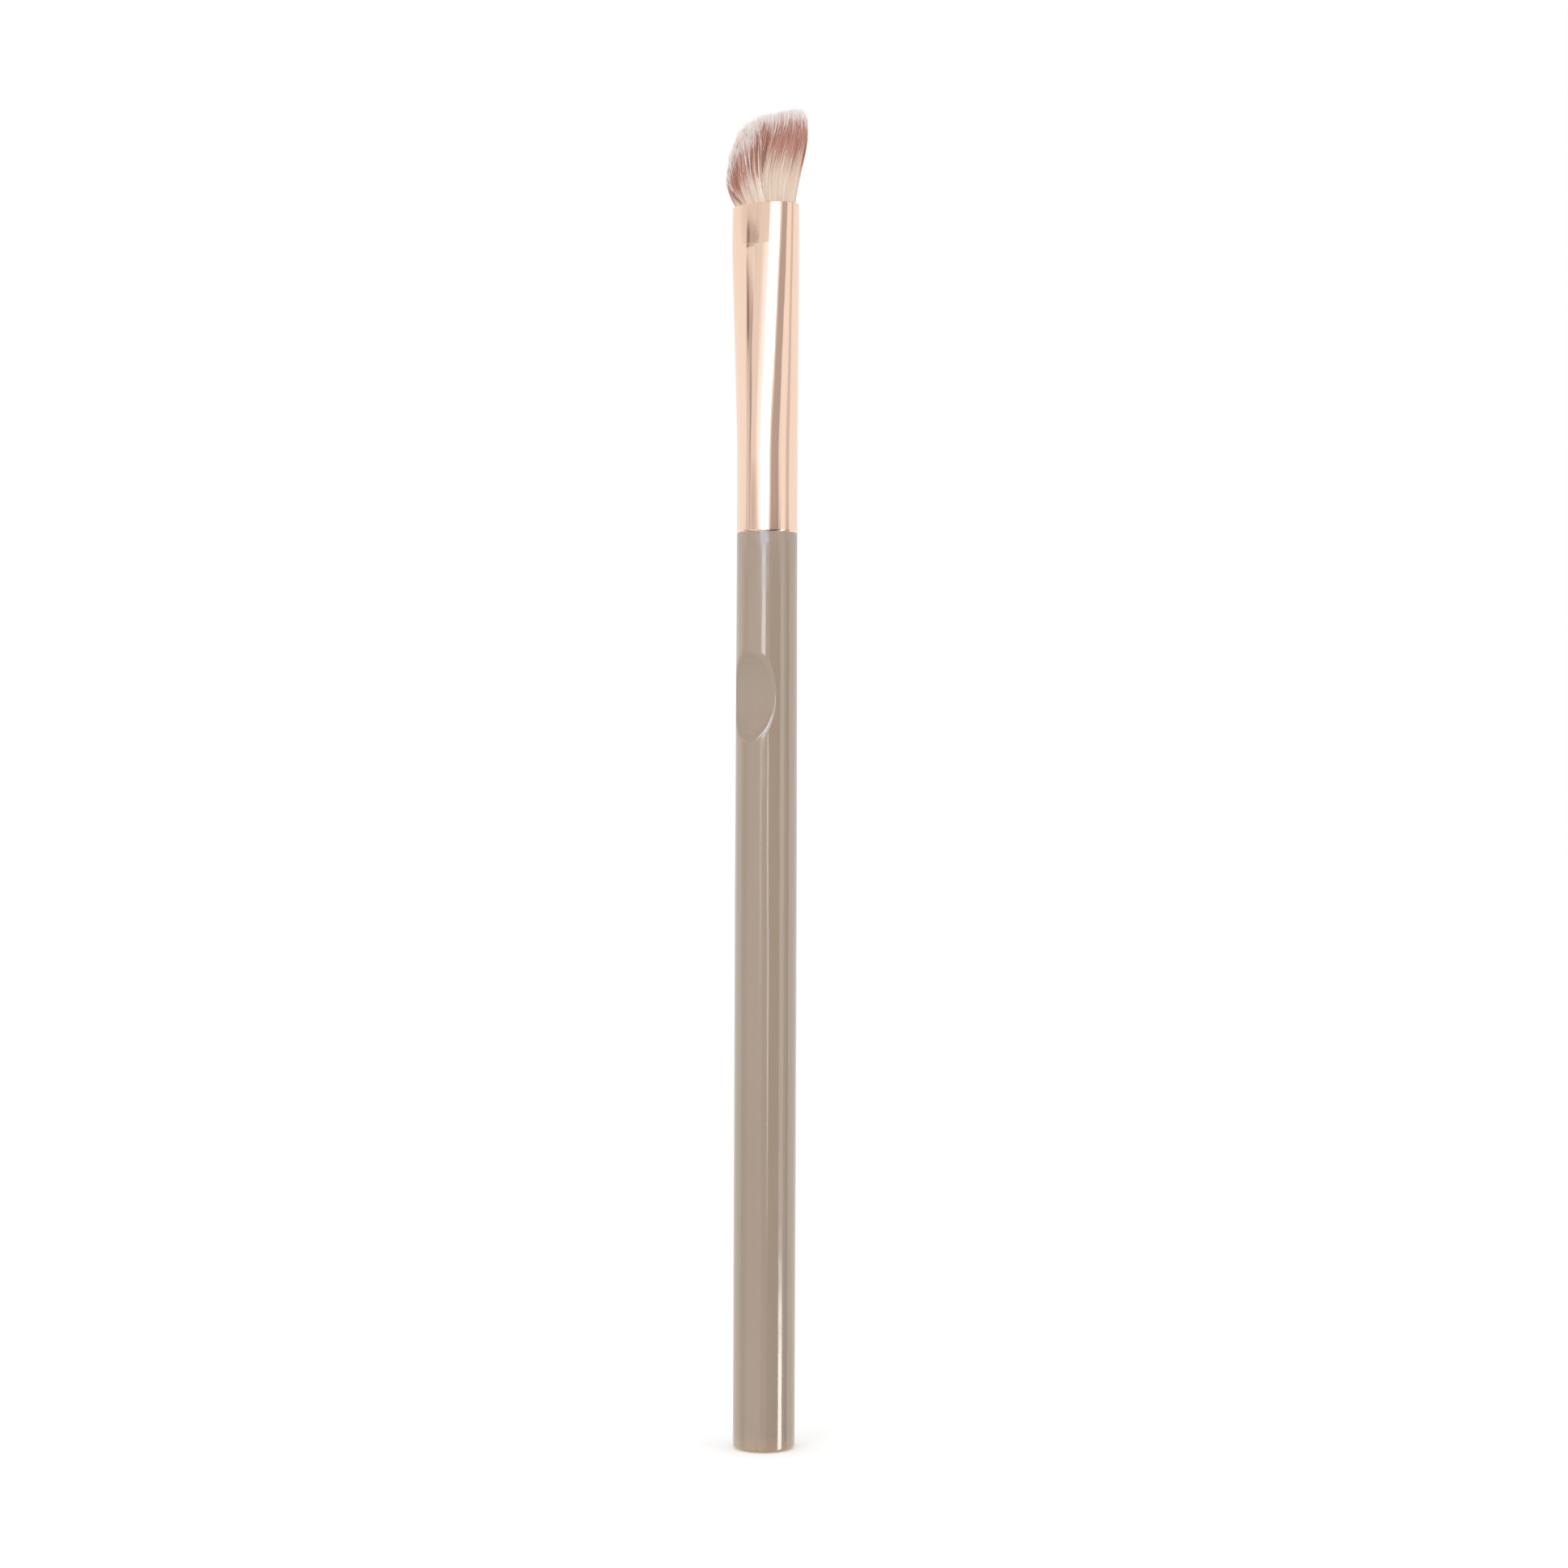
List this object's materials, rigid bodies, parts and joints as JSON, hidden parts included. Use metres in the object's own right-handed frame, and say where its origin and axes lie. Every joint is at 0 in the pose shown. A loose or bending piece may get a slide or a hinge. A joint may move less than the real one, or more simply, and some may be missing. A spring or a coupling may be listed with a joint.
{
  "type": "eyeshadow brush",
  "caption": "Slim round-handled eyeshadow brush with a thumb scoop, an oval-mouthed metal ferrule and a slanted soft tuft that bends to spread powder.",
  "frame": {"origin": "middle of the flat butt end of the handle", "axes": "+Z along the handle to the tips of the tuft, -Y out of the thumb scoop and one broad side of the oval ferrule, +X towards the tall side of the tuft"},
  "size_m": [0.0119, 0.0076, 0.165],
  "materials": {
    "lacquer": "glossy taupe",
    "rose_gold": "polished rose gold",
    "adhesive": "cured clear amber",
    "thread": "plain",
    "fibre": "soft synthetic fibre, cream to dusky rose with pale tips"
  },
  "bodies": {
    "stem": {"handle": "lacquer", "ferrule": "rose_gold", "tenon_adhesive": "adhesive", "root_epoxy": "adhesive", "root_tie": "thread", "tuft_root": "fibre"},
    "lock_1": {"tuft_lock_1": "fibre"},
    "lock_2": {"tuft_lock_2": "fibre"},
    "lock_3": {"tuft_lock_3": "fibre"},
    "lock_4": {"tuft_lock_4": "fibre"},
    "lock_5": {"tuft_lock_5": "fibre"},
    "lock_6": {"tuft_lock_6": "fibre"},
    "lock_7": {"tuft_lock_7": "fibre"}
  },
  "joints": [
    {"name": "lock_1_bend", "type": "hinge", "parent": "stem", "child": "lock_1", "pos_m": [0, 0, 0.15435], "axis": [1, 0, 0], "range_deg": [-25, 25], "stiffness_Nm_per_rad": 0.0002},
    {"name": "lock_2_bend", "type": "hinge", "parent": "stem", "child": "lock_2", "pos_m": [0, 0, 0.15435], "axis": [1, 0, 0], "range_deg": [-25, 25], "stiffness_Nm_per_rad": 0.0002},
    {"name": "lock_3_bend", "type": "hinge", "parent": "stem", "child": "lock_3", "pos_m": [0, 0, 0.15435], "axis": [1, 0, 0], "range_deg": [-25, 25], "stiffness_Nm_per_rad": 0.0002},
    {"name": "lock_4_bend", "type": "hinge", "parent": "stem", "child": "lock_4", "pos_m": [0, 0, 0.15435], "axis": [1, 0, 0], "range_deg": [-25, 25], "stiffness_Nm_per_rad": 0.0002},
    {"name": "lock_5_bend", "type": "hinge", "parent": "stem", "child": "lock_5", "pos_m": [0, 0, 0.15435], "axis": [1, 0, 0], "range_deg": [-25, 25], "stiffness_Nm_per_rad": 0.0002},
    {"name": "lock_6_bend", "type": "hinge", "parent": "stem", "child": "lock_6", "pos_m": [0, 0, 0.15435], "axis": [1, 0, 0], "range_deg": [-25, 25], "stiffness_Nm_per_rad": 0.0002},
    {"name": "lock_7_bend", "type": "hinge", "parent": "stem", "child": "lock_7", "pos_m": [0, 0, 0.15435], "axis": [1, 0, 0], "range_deg": [-25, 25], "stiffness_Nm_per_rad": 0.0002}
  ]
}
